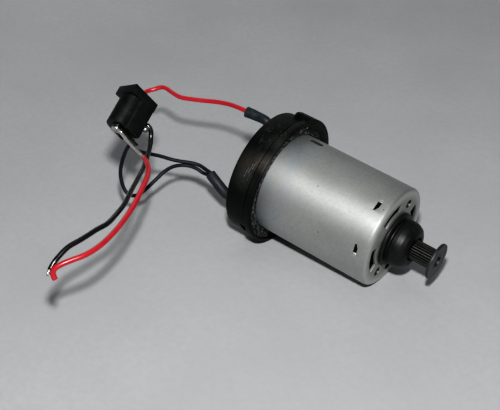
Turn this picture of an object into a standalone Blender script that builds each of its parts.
"""Small brushed DC motor with a rubber rear ring, a toothed drive pulley and a
loose barrel jack on flying leads.

World frame: +X runs along the shaft towards the pulley, +Z is up, and the origin
is the centre of the shaft's front end face. Sizes are millimetres, and motor
stations are measured along X from the can's front face; the datum made at the
end shifts everything to the world origin. Angles are degrees about the shaft,
from +Y towards +Z.
"""
import math

import bmesh
import bpy
from mathutils import Matrix, Vector

MM = 0.001

for old in list(bpy.data.objects):
    bpy.data.objects.remove(old, do_unlink=True)

PARTS = bpy.data.collections.new("electric_motor")
CUTTERS = bpy.data.collections.new("cutters")
bpy.context.scene.collection.children.link(PARTS)
bpy.context.scene.collection.children.link(CUTTERS)

# ----------------------------------------------------------------- materials
# name: (base colour, roughness, metallic)
LOOKS = {
    "plated_steel": ((0.55, 0.56, 0.56), 0.38, 0.9),
    "ring_rubber": ((0.018, 0.018, 0.016), 0.5, 0.0),
    "cap_rubber": ((0.02, 0.022, 0.022), 0.4, 0.0),
    "black_plastic": ((0.02, 0.02, 0.02), 0.45, 0.0),
    "dark_steel": ((0.12, 0.12, 0.12), 0.4, 0.8),
    "bright_steel": ((0.6, 0.6, 0.58), 0.25, 1.0),
    "bronze": ((0.45, 0.28, 0.12), 0.5, 0.9),
    "ferrite": ((0.06, 0.06, 0.065), 0.7, 0.0),
    "lamination": ((0.3, 0.3, 0.3), 0.45, 0.9),
    "enamel_copper": ((0.45, 0.16, 0.05), 0.35, 0.7),
    "copper": ((0.75, 0.38, 0.22), 0.3, 1.0),
    "brass": ((0.7, 0.52, 0.25), 0.3, 1.0),
    "carbon": ((0.03, 0.03, 0.03), 0.6, 0.1),
    "fibre": ((0.5, 0.12, 0.05), 0.7, 0.0),
    "red_pvc": ((0.62, 0.02, 0.03), 0.35, 0.0),
    "black_pvc": ((0.015, 0.015, 0.016), 0.35, 0.0),
    "shrink": ((0.03, 0.033, 0.04), 0.5, 0.0),
    "tinned_copper": ((0.7, 0.7, 0.68), 0.25, 1.0),
}


def make_material(name, colour, roughness, metallic):
    mat = bpy.data.materials.new(name)
    mat.use_nodes = True
    inputs = mat.node_tree.nodes["Principled BSDF"].inputs
    inputs["Base Color"].default_value = (*colour, 1.0)
    inputs["Roughness"].default_value = roughness
    inputs["Metallic"].default_value = metallic
    mat.diffuse_color = (*colour, 1.0)
    return mat


MATERIALS = {name: make_material(name, *look) for name, look in LOOKS.items()}

# -------------------------------------------------------------------- frames
# local x -> world Y, local y -> world Z, local z -> world X
AXIAL = Matrix(((0, 0, 1, 0), (1, 0, 0, 0), (0, 1, 0, 0), (0, 0, 0, 1)))

JACK_ORIGIN = (-87.1, -39.5, 20.5)      # centre of the jack's rear face
JACK_AXIS = (-0.231, 0.879, 0.417)      # jack's +z, towards its opening
JACK_BASE = (0.452, 0.476, -0.754)      # roughly its +y, towards its flat base


def jack_matrix():
    axis = Vector(JACK_AXIS).normalized()
    base = Vector(JACK_BASE)
    base = (base - base.dot(axis) * axis).normalized()
    matrix = Matrix((base.cross(axis), base, axis)).transposed().to_4x4()
    matrix.translation = Vector(JACK_ORIGIN) * MM
    return matrix


def frame(name, matrix):
    empty = bpy.data.objects.new(name, None)
    PARTS.objects.link(empty)
    empty.matrix_world = matrix
    return empty


JACK_MATRIX = jack_matrix()
STATOR = frame("stator_frame", AXIAL)
ROTOR = frame("rotor_axis", AXIAL)
JACK = frame("jack_frame", JACK_MATRIX)


def jack_point(x, y, z):
    """Place in motor millimetres of a point given in the jack's own axes."""
    return (JACK_MATRIX @ Vector((x * MM, y * MM, z * MM))) / MM


# ------------------------------------------------------------- plane outlines
def polar(radius, angle):
    turn = math.radians(angle)
    return (radius * math.cos(turn), radius * math.sin(turn))


def arc(radius, start, end, steps):
    return [polar(radius, start + (end - start) * i / steps) for i in range(steps + 1)]


def sector(r0, r1, centre, half, steps):
    """Ring sector between two radii, spanning half an angle each side of centre."""
    start, end = centre - half, centre + half
    return arc(r1, start, end, steps) + arc(r0, start, end, steps)[::-1]


def half_angle(half_width, radius):
    """Angle off the centre line of a parallel-sided bar's edge at a radius."""
    return math.degrees(math.asin(half_width / radius))


def opposite(angle):
    return (angle, angle + 180.0)


# ------------------------------------------------------------------- builders
# A builder called without a material makes a hidden helper for a boolean.
def finish(obj, material, parent):
    obj.parent = parent
    if material:
        PARTS.objects.link(obj)
        obj.data.materials.clear()
        obj.data.materials.append(MATERIALS[material])
    else:
        CUTTERS.objects.link(obj)
        obj.hide_render = True
        obj.display_type = "WIRE"
    return obj


def turned(name, profile, steps, material=None, parent=STATOR, closed=True):
    """Turn (radius, axial station) points, outer side from front to rear, about z."""
    mesh = bpy.data.meshes.new(name)
    edges = [(i, i + 1) for i in range(len(profile) - 1)]
    if closed:
        edges.append((len(profile) - 1, 0))
    mesh.from_pydata([(r * MM, 0.0, z * MM) for r, z in profile], edges, [])
    obj = bpy.data.objects.new(name, mesh)
    screw = obj.modifiers.new("turn", "SCREW")
    screw.axis = "Z"
    screw.steps = screw.render_steps = steps
    screw.use_merge_vertices = True
    screw.merge_threshold = 0.001 * MM
    screw.use_smooth_shade = False
    return finish(obj, material, parent)


def to_mesh(source, name, material, parent):
    """Replace a curve object with a welded mesh object."""
    bpy.context.view_layer.update()
    depsgraph = bpy.context.evaluated_depsgraph_get()
    mesh = bpy.data.meshes.new_from_object(source.evaluated_get(depsgraph))
    bm = bmesh.new()
    bm.from_mesh(mesh)
    bmesh.ops.remove_doubles(bm, verts=bm.verts, dist=0.001 * MM)
    bmesh.ops.recalc_face_normals(bm, faces=bm.faces)
    bm.to_mesh(mesh)
    bm.free()
    bpy.data.objects.remove(source, do_unlink=True)
    return finish(bpy.data.objects.new(name, mesh), material, parent)


def add_polyline(curve, points, cyclic=False):
    spline = curve.splines.new("POLY")
    spline.points.add(len(points) - 1)
    for target, point in zip(spline.points, points):
        target.co = (*(c * MM for c in point), 1.0)
    spline.use_cyclic_u = cyclic


def outline(name, loops, z0, z1, material=None, parent=STATOR):
    """Flat outline in the local x-y plane, extruded from z0 to z1."""
    curve = bpy.data.curves.new(name + "_outline", "CURVE")
    curve.dimensions = "2D"
    curve.fill_mode = "BOTH"
    curve.extrude = abs(z1 - z0) / 2 * MM
    for loop in loops:
        add_polyline(curve, [(x, y, 0.0) for x, y in loop], cyclic=True)
    flat = bpy.data.objects.new(name + "_outline", curve)
    CUTTERS.objects.link(flat)
    solid = to_mesh(flat, name, material, parent)
    solid.data.transform(Matrix.Translation((0, 0, (z0 + z1) / 2 * MM)))
    return solid


def box(name, low, high, material=None, parent=STATOR, turn=0.0):
    """Box between two local corners, turned about the local z axis."""
    mesh = bpy.data.meshes.new(name)
    bm = bmesh.new()
    bmesh.ops.create_cube(bm, size=1.0)
    size = [(b - a) * MM for a, b in zip(low, high)]
    middle = [(b + a) / 2 * MM for a, b in zip(low, high)]
    rotation = Matrix.Rotation(math.radians(turn), 3, "Z")
    bmesh.ops.scale(bm, vec=size, verts=bm.verts)
    bmesh.ops.translate(bm, vec=middle, verts=bm.verts)
    bmesh.ops.rotate(bm, cent=(0, 0, 0), matrix=rotation, verts=bm.verts)
    bm.to_mesh(mesh)
    bm.free()
    return finish(bpy.data.objects.new(name, mesh), material, parent)


def block(name, angle, radii, half_width, stations, material=None):
    """Stator box centred on a radial line."""
    (r0, r1), (z0, z1) = radii, stations
    return box(name, (r0, -half_width, z0), (r1, half_width, z1), material, turn=angle)


def around(centre, half):
    return (centre - half, centre + half)


def rod_cutter(name, radius, z0, z1, segments, centre=(0.0, 0.0), parent=STATOR):
    mesh = bpy.data.meshes.new(name)
    bm = bmesh.new()
    bmesh.ops.create_cone(bm, cap_ends=True, segments=segments, radius1=radius * MM,
                          radius2=radius * MM, depth=(z1 - z0) * MM)
    middle = (centre[0] * MM, centre[1] * MM, (z0 + z1) / 2 * MM)
    bmesh.ops.translate(bm, vec=middle, verts=bm.verts)
    bm.to_mesh(mesh)
    bm.free()
    return finish(bpy.data.objects.new(name, mesh), None, parent)


def boolean(obj, other, operation):
    modifier = obj.modifiers.new(operation.lower() + "_" + other.name, "BOOLEAN")
    modifier.operation = operation
    modifier.object = other
    modifier.solver = "EXACT"


def cut(obj, other):
    boolean(obj, other, "DIFFERENCE")


def join(obj, other):
    boolean(obj, other, "UNION")


def tube_curve(name, points, radius, resolution, material, caps=True):
    """Unparented round-section curve through points in motor millimetres."""
    curve = bpy.data.curves.new(name, "CURVE")
    curve.dimensions = "3D"
    curve.bevel_depth = radius * MM
    curve.bevel_resolution = resolution
    curve.use_fill_caps = caps
    add_polyline(curve, points)
    return finish(bpy.data.objects.new(name, curve), material, None)


def smooth_path(route, steps):
    """Catmull-Rom curve through the route points."""
    pts = [Vector(point) for point in route]
    pts = [2 * pts[0] - pts[1]] + pts + [2 * pts[-1] - pts[-2]]
    path = []
    for before, start, end, after in zip(pts, pts[1:], pts[2:], pts[3:]):
        linear = end - before
        square = 2 * before - 5 * start + 4 * end - after
        cube = 3 * start - before - 3 * end + after
        for k in range(steps):
            t = k / steps
            path.append(0.5 * (2 * start + linear * t + square * t * t + cube * t ** 3))
    path.append(pts[-2])
    return path


def wire(name, route, radius, material, steps=3, caps=True):
    obj = tube_curve(name, smooth_path(route, steps), radius, 2, material, caps)
    obj.data.twist_mode = "MINIMUM"
    return obj


# ======================================================================= can
CAN_R = 17.9
CAN_WALL = 1.2
CAN_FACE_WALL = 0.7
CAN_REAR = -49.9        # open rear edge
CAN_FILLET = 1.3
FILLET_SHARE = 0.62     # share of the fillet used by its intermediate points
BOSS_R = 6.5            # drawn bearing boss on the front face
BOSS_LEN = 4.5
BOSS_HOLE_R = 2.6
BOSS_INNER_R, BOSS_INNER_X = 5.2, 3.5
SCREW_R = 1.45          # two tapped mounting holes
SCREW_CIRCLE_R = 12.5
SCREW_ANGLES = opposite(60.0)
VENT_R0, VENT_R1, VENT_HALF = 10.9, 14.1, 22.0
VENT_ANGLES = (10.0, 110.0, 190.0, 290.0)
FACE_CUT = (-2.0, 1.0)                      # stations of cutters through the face
WALL_CUT = (CAN_R - 3.0, CAN_R + 2.0)       # radii of cutters through the wall

MAGNET_R0, MAGNET_R1, MAGNET_HALF = 13.3, 16.4, 69.0
MAGNET_X0, MAGNET_X1 = -40.0, -6.0
MAGNET_CENTRES = opposite(142.75)

WINDOW_SPREAD = 25.75   # magnet stop windows, each side of a magnet's centre
WINDOW_ANGLES = [c + s for c in MAGNET_CENTRES for s in (-WINDOW_SPREAD, WINDOW_SPREAD)]
WINDOW_X, WINDOW_HALF_X, WINDOW_HALF_WIDTH = -4.3, 0.65, 1.85
SLOT_STATIONS, SLOT_HALF_WIDTH = (-39.4, -34.6), 0.95
SLOT_ANGLES = opposite(73.5)

CLIP_CENTRES = opposite(MAGNET_CENTRES[0] - 90.0)
CLIP_R0, CLIP_R1 = 15.6, 16.1       # radii of the clip's curved back
CLIP_END_R = 13.6                   # inner ends of its legs
CLIP_LEG_OUT, CLIP_LEG_IN = 17.6, 15.4      # half-angles of the legs' two sides
CLIP_BACK_OUT, CLIP_BACK_IN = 14, 13        # half-angles of the back's two arcs
CLIP_X0, CLIP_X1 = -34.0, -12.0


def build_can():
    inner_r = CAN_R - CAN_WALL
    can = turned("motor_can", [
        (BOSS_HOLE_R, BOSS_LEN), (BOSS_R - 0.3, BOSS_LEN), (BOSS_R, BOSS_LEN - 0.3), (BOSS_R, 0.0),
        (CAN_R - CAN_FILLET, 0.0), (CAN_R - FILLET_SHARE * CAN_FILLET + 0.25, -0.16),
        (CAN_R - 0.16, -CAN_FILLET * FILLET_SHARE), (CAN_R, -CAN_FILLET),
        (CAN_R, CAN_REAR), (inner_r, CAN_REAR), (inner_r, -CAN_FACE_WALL),
        (BOSS_INNER_R, -CAN_FACE_WALL), (BOSS_INNER_R, BOSS_INNER_X), (BOSS_HOLE_R, BOSS_INNER_X),
    ], 48, "plated_steel")
    for i, angle in enumerate(SCREW_ANGLES):
        centre = polar(SCREW_CIRCLE_R, angle)
        cut(can, rod_cutter(f"cut_screw_{i}", SCREW_R, *FACE_CUT, 16, centre))
    for i, angle in enumerate(VENT_ANGLES):
        vent = sector(VENT_R0, VENT_R1, angle, VENT_HALF, 5)
        cut(can, outline(f"cut_vent_{i}", [vent], *FACE_CUT))
    for i, angle in enumerate(WINDOW_ANGLES):
        stations = around(WINDOW_X, WINDOW_HALF_X)
        cut(can, block(f"cut_window_{i}", angle, WALL_CUT, WINDOW_HALF_WIDTH, stations))
    for i, angle in enumerate(SLOT_ANGLES):
        cut(can, block(f"cut_slot_{i}", angle, WALL_CUT, SLOT_HALF_WIDTH, SLOT_STATIONS))


def build_magnets():
    for tag, centre in zip("ab", MAGNET_CENTRES):
        outline(f"magnet_{tag}", [sector(MAGNET_R0, MAGNET_R1, centre, MAGNET_HALF, 16)],
                MAGNET_X0, MAGNET_X1, "ferrite")


def build_magnet_clips():
    """Spring clips that press the two magnets apart."""
    for tag, c in zip("ab", CLIP_CENTRES):
        points = [polar(CLIP_END_R, c - CLIP_LEG_OUT), polar(CLIP_R1, c - CLIP_LEG_OUT)]
        points += arc(CLIP_R1, c - CLIP_BACK_OUT, c + CLIP_BACK_OUT, 4)
        points += [polar(CLIP_R1, c + CLIP_LEG_OUT), polar(CLIP_END_R, c + CLIP_LEG_OUT),
                   polar(CLIP_END_R, c + CLIP_LEG_IN), polar(CLIP_R0, c + CLIP_LEG_IN)]
        points += arc(CLIP_R0, c - CLIP_BACK_IN, c + CLIP_BACK_IN, 4)[::-1]
        points += [polar(CLIP_R0, c - CLIP_LEG_IN), polar(CLIP_END_R, c - CLIP_LEG_IN)]
        outline(f"magnet_clip_{tag}", [points], CLIP_X0, CLIP_X1, "bright_steel")


# ======================================================= bearings and end bell
SHAFT_R = 1.5875
BUSH_BORE_R = SHAFT_R + 0.06        # running clearance
BELL_PLATE = -52.0                  # rear face of the end bell's plate
BELL_REAR = -57.0                   # rear face of its bearing hub

# (radius, station)
FRONT_BEARING = [(BUSH_BORE_R, 3.2), (4.6, 3.2), (4.9, 2.9), (4.9, -0.9), (BUSH_BORE_R, -0.9)]
REAR_BEARING = [(BUSH_BORE_R, -51.2), (4.3, -51.2), (4.3, -55.6), (4.0, -55.9),
                (BUSH_BORE_R, -55.9)]
END_BELL = [
    (16.4, -45.6), (16.4, -50.2), (CAN_R, -50.2), (CAN_R, BELL_PLATE),
    (6.3, BELL_PLATE), (6.3, BELL_REAR + 0.4), (5.9, BELL_REAR), (2.4, BELL_REAR),
    (2.4, -56.2), (4.6, -56.2), (4.6, -50.3), (14.8, -50.3), (14.8, -45.6)]

TERMINAL_R = 11.0
TERMINAL_ANGLES = dict(zip(("red", "black"), opposite(55.0)))
TAB_HALF_THICK, TAB_HALF_WIDTH, TAB_STATIONS = 0.4, 2.4, (-54.6, -49.7)
TAB_CLEARANCE = 0.3
TAB_SLOT_STATIONS = (-53.0, -49.5)
LUG_HALF_THICK, LUG_HALF_WIDTH, LUG_STATIONS = 0.3, 0.8, (-56.7, -54.0)


def build_bearings():
    turned("front_bearing", FRONT_BEARING, 24, "bronze")
    turned("rear_bearing", REAR_BEARING, 24, "bronze")


def build_end_bell():
    bell = turned("end_bell", END_BELL, 40, "black_plastic")
    slot_radii = around(TERMINAL_R, TAB_HALF_THICK + TAB_CLEARANCE)
    for colour, angle in TERMINAL_ANGLES.items():
        cut(bell, block(f"cut_terminal_{colour}", angle, slot_radii,
                        TAB_HALF_WIDTH + TAB_CLEARANCE, TAB_SLOT_STATIONS))
        # tab with a narrow solder lug at its rear end
        tab = block(f"terminal_{colour}", angle, around(TERMINAL_R, TAB_HALF_THICK),
                    TAB_HALF_WIDTH, TAB_STATIONS, "brass")
        join(tab, block(f"add_lug_{colour}", angle, around(TERMINAL_R, LUG_HALF_THICK),
                        LUG_HALF_WIDTH, LUG_STATIONS))


# ================================================================ brush gear
BRUSH_X = -46.4
BRUSH_R0, BRUSH_R1 = 5.0, 10.9
BRUSH_HALF_WIDTH, BRUSH_HALF_X = 1.5, 2.0
BRUSH_CLEARANCE = 0.3
HOLDER_R0, HOLDER_R1 = 6.4, 14.2
HOLDER_WALL = 0.4
SPRING_R0, SPRING_LENGTH = 11.5, 1.75
SPRING_COIL_R, SPRING_WIRE_R = 1.1, 0.14
SPRING_TURNS, SPRING_STEPS = 4, 10      # turns, and steps in each


def build_brush(tag, angle):
    channel = BRUSH_HALF_WIDTH + BRUSH_CLEARANCE
    channel_x = BRUSH_HALF_X + BRUSH_CLEARANCE
    holder = block(f"brush_holder_{tag}", angle, (HOLDER_R0, HOLDER_R1), channel + HOLDER_WALL,
                   around(BRUSH_X, channel_x + HOLDER_WALL), "brass")
    cut(holder, block(f"cut_holder_{tag}", angle, (BRUSH_R0, HOLDER_R1 - HOLDER_WALL),
                      channel, around(BRUSH_X, channel_x)))
    block(f"carbon_brush_{tag}", angle, (BRUSH_R0, BRUSH_R1), BRUSH_HALF_WIDTH,
          around(BRUSH_X, BRUSH_HALF_X), "carbon")


def build_brush_spring(tag, side):
    """Coil rising along +Z for side 1 and along -Z for side -1."""
    total = SPRING_TURNS * SPRING_STEPS
    coil = []
    for i in range(total + 1):
        turn = i / SPRING_STEPS * 2 * math.pi
        coil.append((BRUSH_X + SPRING_COIL_R * math.sin(turn),
                     -side * SPRING_COIL_R * math.cos(turn),
                     side * (SPRING_R0 + SPRING_LENGTH * i / total)))
    tube_curve(f"brush_spring_{tag}", coil, SPRING_WIRE_R, 0, "bright_steel")


# ================================================== rear ring and front boss cap
RING_FRONT, RING_GROOVE, RING_REAR = -42.3, -45.3, -53.3
RING_LIP_R, RING_BAND_R, RING_BORE_R = 22.8, 22.04, 18.2
RING_STEP_R = 21.6              # bore of the shallow step in the front face
RING_STEP_X = RING_FRONT - 0.8
GROOVE_R, GROOVE_HALF = 21.4, 0.3
FLOOR_HOLE_R = 14.0             # opening in the ring's rear floor
FLOOR_FRONT = RING_REAR + 1.0
LIP_BEVEL, BAND_BEVEL = 0.4, 0.6
RING_CUT_R = 20.6               # inner radius of the lug and of the notch
RING_LUG_R, RING_LUG_CENTRE, RING_LUG_HALF = 24.0, 30.0, 40.0
RING_LUG_X0, RING_LUG_X1 = -49.0, RING_FRONT - 0.15
NOTCH_R, NOTCH_CENTRE, NOTCH_HALF, NOTCH_LENGTH = 23.5, 214.0, 7.0, 2.4

# (radius, station)
BOSS_CAP = [
    (4.2, 8.0), (4.6, 8.4), (5.6, 8.3), (6.9, 7.6), (7.8, 6.3), (8.25, 4.4), (8.3, 2.7),
    (7.6, 2.2), (7.7, 1.7), (9.1, 1.65), (9.6, 1.2), (9.6, 0.6), (9.3, 0.3), (6.8, 0.3),
    (6.8, 4.8), (4.2, 4.8)]


def build_rear_ring():
    groove_front, groove_rear = RING_GROOVE + GROOVE_HALF, RING_GROOVE - GROOVE_HALF
    ring = turned("rear_mount_ring", [
        (RING_STEP_R, RING_FRONT), (RING_LIP_R - LIP_BEVEL, RING_FRONT),
        (RING_LIP_R, RING_FRONT - LIP_BEVEL), (RING_LIP_R, groove_front),
        (GROOVE_R, groove_front), (GROOVE_R, groove_rear), (RING_BAND_R, groove_rear),
        (RING_BAND_R, RING_REAR + BAND_BEVEL), (RING_BAND_R - BAND_BEVEL, RING_REAR),
        (FLOOR_HOLE_R, RING_REAR), (FLOOR_HOLE_R, FLOOR_FRONT), (RING_BORE_R, FLOOR_FRONT),
        (RING_BORE_R, RING_STEP_X), (RING_STEP_R, RING_STEP_X)], 48, "ring_rubber")
    lug = sector(RING_CUT_R, RING_LUG_R, RING_LUG_CENTRE, RING_LUG_HALF, 8)
    join(ring, outline("add_ring_lug", [lug], RING_LUG_X0, RING_LUG_X1))
    notch = sector(RING_CUT_R, NOTCH_R, NOTCH_CENTRE, NOTCH_HALF, 2)
    cut(ring, outline("cut_ring_notch", [notch], RING_GROOVE - NOTCH_LENGTH, RING_GROOVE))


# ===================================================================== rotor
SHAFT_X0, SHAFT_X1 = -56.0, 16.4
SHAFT_BEVEL = 0.25
PRESS_R = SHAFT_R + 0.27            # bore of every piece carried on the shaft
BORE = arc(PRESS_R, 0, 360 - 360 / 24, 23)

POLES = 5
POLE_PITCH = 360.0 / POLES
POLE_ANGLES = [18.0 + k * POLE_PITCH for k in range(POLES)]
GAP_ANGLES = [angle + POLE_PITCH / 2 for angle in POLE_ANGLES]
CORE_X0, CORE_X1 = -36.0, -12.0
# stem half-width, hub radius, head inner radius, outer radius, half-gap in degrees
CORE_STAR = (1.7, 4.6, 11.2, 12.6, 3.7)
INSULATOR_STAR = (1.85, 4.5, 11.3, 12.2, 4.2)
INSULATOR_NEAR, INSULATOR_FAR = 0.3, 0.7    # distances of its faces from the core

# (radius, station)
FRONT_END_TURNS = [
    (4.8, -8.9), (5.2, -8.6), (9.6, -8.6), (10.9, -9.6),
    (10.9, -10.6), (10.5, -11.0), (5.2, -11.0), (4.8, -10.7)]
REAR_END_TURNS = [
    (4.8, -37.3), (5.2, -37.0), (10.5, -37.0), (10.9, -37.4),
    (10.9, -38.6), (9.6, -39.6), (5.2, -39.6), (4.8, -39.3)]
SLOT_BAR_RADII = (5.5, 7.5, 9.0, 10.6)
SLOT_BAR_TIP_R = 10.75
SLOT_BAR_STEM_GAP = 2.25            # distance of a bar's sides from a pole's centre line
SLOT_BAR_X0, SLOT_BAR_X1 = -38.2, -9.8

COMMUTATOR_HUB = [(PRESS_R, -40.4), (3.0, -40.4), (3.3, -40.7), (3.3, -49.2), (PRESS_R, -49.2)]
SEGMENT_R0, SEGMENT_R1, SEGMENT_HALF = 3.6, 4.7, 32.5
SEGMENT_X0, SEGMENT_X1 = -49.0, -42.2
RISER_R0, RISER_R1, RISER_HALF = 3.8, 6.3, 9
RISER_X0, RISER_X1 = SEGMENT_X1 - 0.7, SEGMENT_X1 + 0.2

WASHER_R = 3.4
WASHER_STATIONS = {"front": (-1.5, -2.1), "rear": (-49.8, -50.5)}

PULLEY_X0, PULLEY_X1 = 6.0, 15.7
PULLEY_TIP_R, PULLEY_ROOT_R, PULLEY_TEETH = 3.5, 2.95, 24
ROOT_SHARE, TIP_SHARE = 0.36, 0.24  # half-widths of a tooth, as shares of the pitch
FLANGE_R, FLANGE_X0, FLANGE_X1 = 6.3, 15.95, 16.95
FLANGE_BEVEL = 0.25


def build_shaft():
    end_r = SHAFT_R - SHAFT_BEVEL
    turned("shaft", [
        (0.0, SHAFT_X1), (end_r, SHAFT_X1), (SHAFT_R, SHAFT_X1 - SHAFT_BEVEL),
        (SHAFT_R, SHAFT_X0 + SHAFT_BEVEL), (end_r, SHAFT_X0), (0.0, SHAFT_X0)],
        24, "bright_steel", ROTOR, closed=False)


def star(stem, hub_r, head_r, outer_r, gap):
    """Armature outline: a hub, its stems and their curved pole heads."""
    hub_half, head_half = half_angle(stem, hub_r), half_angle(stem, head_r)
    half = POLE_PITCH / 2 - gap
    points = []
    for c in POLE_ANGLES:
        points += [polar(hub_r, c - hub_half), polar(head_r, c - head_half),
                   polar(head_r, c - half)]
        points += arc(outer_r, c - half, c + half, 6)
        points += [polar(head_r, c + half), polar(head_r, c + head_half),
                   polar(hub_r, c + hub_half), polar(hub_r, c + POLE_PITCH / 2)]
    return points


def build_armature():
    outline("armature_core", [star(*CORE_STAR), BORE], CORE_X0, CORE_X1, "lamination", ROTOR)
    for end, face, side in (("front", CORE_X1, 1), ("rear", CORE_X0, -1)):
        outline(f"armature_insulator_{end}", [star(*INSULATOR_STAR), BORE],
                face + side * INSULATOR_NEAR, face + side * INSULATOR_FAR, "fibre", ROTOR)


def build_windings():
    """Front and rear end turns joined by a bar in each slot between poles."""
    windings = turned("armature_windings", FRONT_END_TURNS, 30, "enamel_copper", ROTOR)
    rear_turns = turned("add_rear_end_turns", REAR_END_TURNS, 30, parent=ROTOR)
    side = [(r, POLE_PITCH / 2 - half_angle(SLOT_BAR_STEM_GAP, r)) for r in SLOT_BAR_RADII]
    for k, c in enumerate(GAP_ANGLES):
        points = [polar(r, c + half) for r, half in side] + [polar(SLOT_BAR_TIP_R, c)]
        points += [polar(r, c - half) for r, half in reversed(side)]
        join(windings, outline(f"add_slot_bar_{k}", [points], SLOT_BAR_X0, SLOT_BAR_X1,
                               parent=ROTOR))
    join(windings, rear_turns)


def build_commutator():
    turned("commutator_hub", COMMUTATOR_HUB, 20, "black_plastic", ROTOR)
    for k, c in enumerate(GAP_ANGLES):
        segment = outline(f"commutator_segment_{k + 1}",
                          [sector(SEGMENT_R0, SEGMENT_R1, c, SEGMENT_HALF, 6)],
                          SEGMENT_X0, SEGMENT_X1, "copper", ROTOR)
        riser = sector(RISER_R0, RISER_R1, c, RISER_HALF, 2)
        join(segment, outline(f"add_riser_{k}", [riser], RISER_X0, RISER_X1, parent=ROTOR))


def build_thrust_washers():
    for end, (front, rear) in WASHER_STATIONS.items():
        profile = [(PRESS_R, front), (WASHER_R, front), (WASHER_R, rear), (PRESS_R, rear)]
        turned(f"thrust_washer_{end}", profile, 20, "fibre", ROTOR)


def build_pulley():
    pitch = 360.0 / PULLEY_TEETH
    root, tip = ROOT_SHARE * pitch, TIP_SHARE * pitch
    teeth = []
    for k in range(PULLEY_TEETH):
        c = (k + 0.5) * pitch
        teeth += [polar(PULLEY_ROOT_R, c - root), polar(PULLEY_TIP_R, c - tip),
                  polar(PULLEY_TIP_R, c + tip), polar(PULLEY_ROOT_R, c + root)]
    outline("drive_pulley", [teeth, BORE], PULLEY_X0, PULLEY_X1, "dark_steel", ROTOR)
    turned("pulley_end_flange", [
        (PRESS_R, FLANGE_X1), (FLANGE_R - FLANGE_BEVEL, FLANGE_X1),
        (FLANGE_R, FLANGE_X1 - FLANGE_BEVEL), (FLANGE_R, FLANGE_X0 + 0.1),
        (FLANGE_R - 0.3, FLANGE_X0), (PRESS_R, FLANGE_X0)], 36, "dark_steel", ROTOR)


# ====================================================================== jack
# Jack axes: x across, y towards the flat base, z from rear face to opening.
JACK_HALF_WIDTH, JACK_LENGTH = 4.5, 14.2
JACK_TOP, JACK_BOTTOM = -4.23, 6.77
JACK_PLATE = 3.3            # thickness of the plate at the opening
PLATE_STEP = 0.06           # plate stands this far proud of the body
PLATE_OVERLAP = 0.5
JACK_BARREL_R, JACK_BORE_R = 4.0, 2.9
BORE_FLOOR = 1.2
PIN_HOLE_R, BLADE_HOLE_R = 1.4, 1.35
# (radius, z)
CENTRE_PIN = [(0.0, 12.8), (0.7, 12.8), (1.05, 12.2), (1.05, -1.0), (1.7, -1.0), (1.7, -1.3),
              (1.2, -1.6), (0.0, -1.6)]
# low and high corners
SLEEVE_SLOT = ((0.8, 4.4, 2.6), (3.4, 7.5, 11.6))
SWITCH_SLOT = ((-4.1, 4.4, -0.5), (-2.9, 7.5, 3.0))
CENTRE_BLADE = ((-1.1, -2.2, -0.7), (1.9, 9.6, -0.3))
SLEEVE_CONTACT = ((1.2, 4.8, 3.2), (3.0, 5.2, 11.0))
SLEEVE_TAB = ((1.2, 4.9, 5.3), (3.0, 8.6, 5.75))
SWITCH_CONTACT = ((-3.7, 4.8, 0.6), (-3.3, 9.0, 2.6))


def build_jack_housing():
    side, base = JACK_HALF_WIDTH - PLATE_STEP, JACK_BOTTOM - PLATE_STEP
    plate_z = JACK_LENGTH - JACK_PLATE
    body = arc(JACK_BARREL_R, 180, 360, 10)
    body += [(JACK_BARREL_R, 0.45), (side, 0.75), (side, base),
             (-side, base), (-side, 0.7), (-JACK_BARREL_R, 0.4)]
    housing = outline("jack_housing", [body], 0.0, plate_z + PLATE_OVERLAP,
                      "black_plastic", JACK)
    join(housing, box("add_jack_plate", (-JACK_HALF_WIDTH, JACK_TOP, plate_z),
                      (JACK_HALF_WIDTH, JACK_BOTTOM, JACK_LENGTH), parent=JACK))
    cut(housing, rod_cutter("cut_jack_bore", JACK_BORE_R, BORE_FLOOR, JACK_LENGTH + 1, 20,
                            parent=JACK))
    cut(housing, rod_cutter("cut_jack_pin_hole", PIN_HOLE_R, -1.0, 2.0, 16, parent=JACK))
    cut(housing, box("cut_jack_sleeve_slot", *SLEEVE_SLOT, parent=JACK))
    cut(housing, box("cut_jack_switch_slot", *SWITCH_SLOT, parent=JACK))


def build_jack_contacts():
    turned("jack_centre_pin", CENTRE_PIN, 16, "bright_steel", JACK, closed=False)
    blade = box("jack_centre_blade", *CENTRE_BLADE, "bright_steel", JACK)
    cut(blade, rod_cutter("cut_blade_hole", BLADE_HOLE_R, -2.0, 1.0, 16, parent=JACK))
    sleeve = box("jack_sleeve_contact", *SLEEVE_CONTACT, "bright_steel", JACK)
    join(sleeve, box("add_sleeve_tab", *SLEEVE_TAB, parent=JACK))
    box("jack_switch_contact", *SWITCH_CONTACT, "bright_steel", JACK)


# ===================================================================== leads
# Routes are (x, y, z) in the motor's millimetres, before the datum shift.
SLEEVE_R, SLEEVE_WALL = 1.85, 0.35
RED_SLEEVE = [
    (-54.9, 6.31, 9.01), (-56.0, 6.31, 9.15), (-56.9, 6.31, 9.8), (-57.35, 6.31, 10.9),
    (-57.45, 6.31, 12.3), (-57.8, 6.3, 13.6), (-58.7, 6.3, 14.6), (-60.0, 6.25, 15.0),
    (-62.4, 6.3, 14.9), (-64.9, 6.0, 15.0), (-67.3, 5.8, 14.9)]
BLACK_SLEEVE = [
    (-54.9, -6.31, -9.01), (-56.3, -6.4, -9.1), (-57.7, -7.2, -9.7), (-59.0, -8.8, -10.2),
    (-60.3, -10.2, -9.8), (-62.5, -11.0, -8.0), (-65.5, -11.1, -6.0), (-68.7, -10.5, -4.8)]

PAIR_OFFSET = 0.7       # each black motor lead's distance from the sleeve's centre
PAIR_DEPTH = 2.4        # length of those leads inside the sleeve


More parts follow.
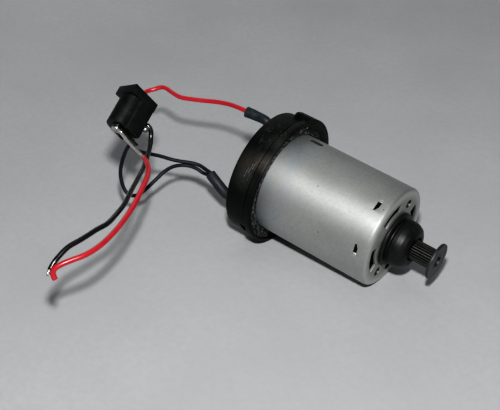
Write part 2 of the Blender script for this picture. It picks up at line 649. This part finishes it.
def in_black_sleeve(depth, side):
    """Point inside the sleeve's free end; side is 1 for the upper lead, -1 the lower."""
    before, end = Vector(BLACK_SLEEVE[-2]), Vector(BLACK_SLEEVE[-1])
    along = (end - before).normalized()
    up = (Vector((0, 0, 1)) - along.z * along).normalized() * PAIR_OFFSET
    return end - along * depth + up * side


# (name, radius, material, route)
LEADS = [
    ("red_motor_lead", 0.82, "red_pvc", [
        (-64.1, 5.9, 14.9), (-67.5, 5.8, 15.1), (-71.6, 6.1, 14.7), (-75.9, 6.5, 13.8),
        (-80.9, 6.1, 12.6), (-85.9, 4.8, 11.4), (-91.0, 3.1, 10.5), (-95.1, 2.3, 9.8),
        (-99.5, 3.3, 9.2), (-103.5, 4.5, 8.7), (-105.8, 4.7, 8.1), (-108.1, 2.9, 6.9),
        (-109.3, 0.3, 6.6), (-107.9, -5.4, 7.7), (-103.5, -13.7, 8.7), (-96.0, -23.0, 11.0),
        jack_point(-3.0, 9.6, 6.4), jack_point(-0.4, 8.4, 2.6)]),
    ("black_motor_lead_a", 0.67, "black_pvc", [
        in_black_sleeve(PAIR_DEPTH, 1), in_black_sleeve(0.0, 1),
        (-71.3, -10.2, -4.1), (-74.3, -10.3, -3.7), (-77.3, -11.8, -3.4), (-79.9, -13.4, -3.4),
        (-83.1, -15.0, -3.4), (-85.9, -17.8, -2.0), (-88.0, -21.4, -0.2), (-89.0, -25.1, 2.0),
        (-89.1, -28.7, 5.2), jack_point(-5.4, 10.9, 2.4), jack_point(-3.5, 9.9, 2.3)]),
    ("black_motor_lead_b", 0.67, "black_pvc", [
        in_black_sleeve(PAIR_DEPTH, -1), in_black_sleeve(0.0, -1),
        (-72.3, -10.2, -6.2), (-74.8, -10.8, -5.3), (-77.5, -11.6, -5.1), (-80.0, -13.5, -5.1),
        (-81.4, -16.5, -5.0), (-82.1, -19.9, -5.6), (-82.9, -23.2, -7.6), (-83.8, -26.1, -9.8),
        (-84.5, -28.6, -11.3), (-85.0, -30.9, -11.8), (-86.2, -32.7, -11.6),
        (-88.6, -33.2, -10.5), (-90.5, -33.1, -7.3), (-91.6, -32.6, -4.0), (-91.1, -32.3, 0.9),
        (-89.0, -32.7, 6.9), jack_point(-3.5, 9.9, 0.9)]),
    ("red_supply_conductor", 0.55, "tinned_copper", [
        jack_point(0.5, 4.4, -1.6), jack_point(0.5, 9.0, -1.7), jack_point(0.75, 13.0, -1.85)]),
    ("red_supply_lead", 0.84, "red_pvc", [
        jack_point(0.85, 14.2, -1.95), (-75.9, -37.3, 10.9), (-71.9, -40.8, 12.0),
        (-68.2, -45.8, 12.8), (-64.3, -53.1, 13.4), (-61.5, -58.7, 13.6), (-58.4, -66.1, 14.1),
        (-55.9, -73.1, 14.7), (-53.9, -81.3, 15.4), (-54.0, -87.5, 15.4), (-55.8, -91.8, 14.8),
        (-57.2, -94.5, 14.0), (-58.1, -96.2, 12.8), (-57.9, -96.7, 11.5), (-57.0, -96.8, 10.2)]),
    ("black_supply_lead", 0.8, "black_pvc", [
        jack_point(2.2, 8.2, 7.0), (-82.2, -29.2, 17.8), (-81.0, -29.6, 16.9),
        (-80.0, -30.8, 15.6), (-79.6, -31.3, 13.5), (-80.2, -31.1, 10.2), (-81.7, -30.5, 5.6),
        (-79.7, -34.2, 5.0), (-74.9, -42.4, 7.1), (-69.5, -51.7, 10.0), (-64.6, -59.8, 12.5),
        (-61.3, -66.7, 14.5), (-59.1, -73.3, 15.6), (-59.3, -77.5, 15.7), (-59.3, -83.7, 15.8),
        (-60.0, -88.6, 15.3), (-60.1, -92.1, 14.0), (-60.0, -94.2, 13.0), (-59.8, -96.0, 11.6)]),
    ("black_supply_conductor", 0.5, "tinned_copper", [
        (-59.8, -96.2, 11.6), (-59.5, -96.8, 11.1), (-59.0, -97.4, 10.8)]),
]


def build_sleeve(name, route):
    """Open tube along a route, thickened inwards."""
    surface = wire(name + "_surface", route, SLEEVE_R, "shrink", steps=2, caps=False)
    sleeve = to_mesh(surface, name, "shrink", None)
    wall = sleeve.modifiers.new("wall", "SOLIDIFY")
    wall.thickness = SLEEVE_WALL * MM
    wall.offset = -1.0


# ================================================================== assembly
def shift_to_datum():
    """Move the world origin to the centre of the shaft's front end face."""
    roots = [obj for obj in bpy.data.objects if obj.parent is None]
    datum = bpy.data.objects.new("shaft_end_datum", None)
    PARTS.objects.link(datum)
    datum.location = (-SHAFT_X1 * MM, 0.0, 0.0)
    for root in roots:
        root.parent = datum


build_can()
build_magnets()
build_magnet_clips()
build_bearings()
build_end_bell()
for tag, angle, side in (("upper", 90.0, 1), ("lower", 270.0, -1)):
    build_brush(tag, angle)
    build_brush_spring(tag, side)
build_rear_ring()
turned("front_boss_cap", BOSS_CAP, 32, "cap_rubber")
build_shaft()
build_armature()
build_windings()
build_commutator()
build_thrust_washers()
build_pulley()
build_jack_housing()
build_jack_contacts()
build_sleeve("red_terminal_sleeve", RED_SLEEVE)
build_sleeve("black_terminal_sleeve", BLACK_SLEEVE)
for name, radius, material, route in LEADS:
    wire(name, route, radius, material)
shift_to_datum()
